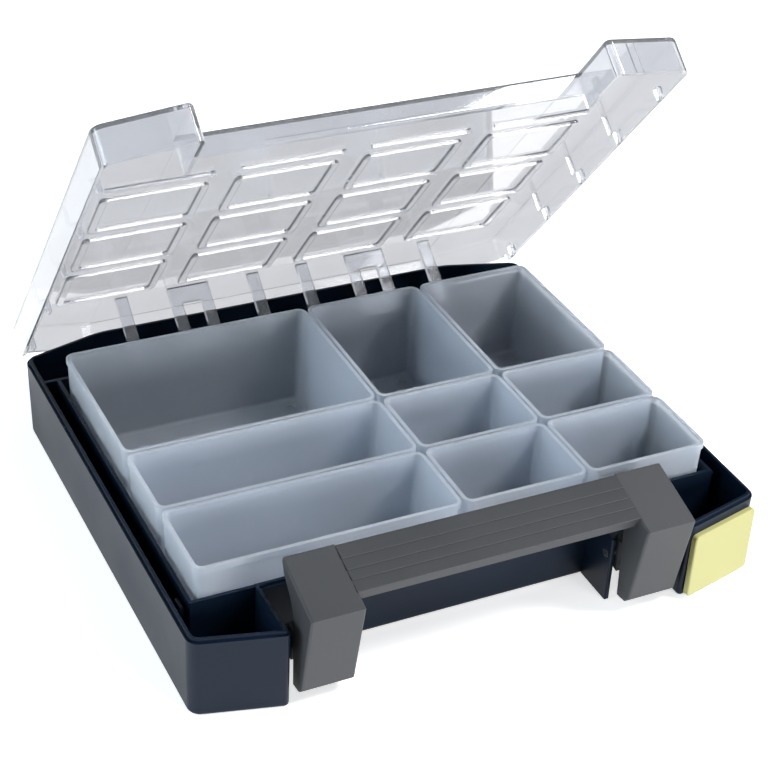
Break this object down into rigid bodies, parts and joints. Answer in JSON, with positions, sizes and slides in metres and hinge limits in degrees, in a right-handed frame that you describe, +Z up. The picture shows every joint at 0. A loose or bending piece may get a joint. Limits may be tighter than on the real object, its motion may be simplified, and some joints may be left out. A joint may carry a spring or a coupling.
{
  "type": "assortment case",
  "caption": "Portable assortment case: dark tray with lift-out frosted inserts, hinged clear ribbed lid and a swing handle that latches it.",
  "frame": {"origin": "on the underside of the tray, below the middle of its width and depth", "axes": "+Z up, +Y towards the hinge at the back, +X to the right seen from the handle"},
  "size_m": [0.2404, 0.2433, 0.1979],
  "materials": {
    "tray_plastic": "satin blue-black polypropylene",
    "handle_plastic": "satin dark grey polypropylene",
    "plate_plastic": "satin lime",
    "clear_plastic": "clear gloss",
    "frosted_plastic": "translucent natural polypropylene",
    "pin_steel": "bright drawn wire"
  },
  "bodies": {
    "tray": {"base_tray": "tray_plastic", "hinge_pin_left": "pin_steel", "hinge_pin_right": "pin_steel", "handle_pin_left": "pin_steel", "handle_pin_right": "pin_steel", "colour_plate": "plate_plastic"},
    "lid": {"lid": "clear_plastic"},
    "handle": {"handle": "handle_plastic"},
    "insert_back_large": {"insert_back_large": "frosted_plastic"},
    "insert_back_middle": {"insert_back_middle": "frosted_plastic"},
    "insert_back_right": {"insert_back_right": "frosted_plastic"},
    "insert_centre_long": {"insert_centre_long": "frosted_plastic"},
    "insert_centre_middle": {"insert_centre_middle": "frosted_plastic"},
    "insert_centre_right": {"insert_centre_right": "frosted_plastic"},
    "insert_front_long": {"insert_front_long": "frosted_plastic"},
    "insert_front_middle": {"insert_front_middle": "frosted_plastic"},
    "insert_front_right": {"insert_front_right": "frosted_plastic"}
  },
  "joints": [
    {"name": "lid_hinge", "type": "hinge", "parent": "tray", "child": "lid", "pos_m": [0, 0.09545, 0.0222], "axis": [-1, 0, 0], "range_deg": [-50.8, 32]},
    {"name": "handle_pivot", "type": "hinge", "parent": "tray", "child": "handle", "pos_m": [0, -0.09505, 0.021], "axis": [1, 0, 0], "range_deg": [-12, 58]},
    {"name": "insert_back_large_lift", "type": "slide", "parent": "tray", "child": "insert_back_large", "axis": [0, 0, 1], "range_m": [0, 0.034]},
    {"name": "insert_back_middle_lift", "type": "slide", "parent": "tray", "child": "insert_back_middle", "axis": [0, 0, 1], "range_m": [0, 0.034]},
    {"name": "insert_back_right_lift", "type": "slide", "parent": "tray", "child": "insert_back_right", "axis": [0, 0, 1], "range_m": [0, 0.034]},
    {"name": "insert_centre_long_lift", "type": "slide", "parent": "tray", "child": "insert_centre_long", "axis": [0, 0, 1], "range_m": [0, 0.06]},
    {"name": "insert_centre_middle_lift", "type": "slide", "parent": "tray", "child": "insert_centre_middle", "axis": [0, 0, 1], "range_m": [0, 0.06]},
    {"name": "insert_centre_right_lift", "type": "slide", "parent": "tray", "child": "insert_centre_right", "axis": [0, 0, 1], "range_m": [0, 0.06]},
    {"name": "insert_front_long_lift", "type": "slide", "parent": "tray", "child": "insert_front_long", "axis": [0, 0, 1], "range_m": [0, 0.06]},
    {"name": "insert_front_middle_lift", "type": "slide", "parent": "tray", "child": "insert_front_middle", "axis": [0, 0, 1], "range_m": [0, 0.06]},
    {"name": "insert_front_right_lift", "type": "slide", "parent": "tray", "child": "insert_front_right", "axis": [0, 0, 1], "range_m": [0, 0.06]}
  ]
}
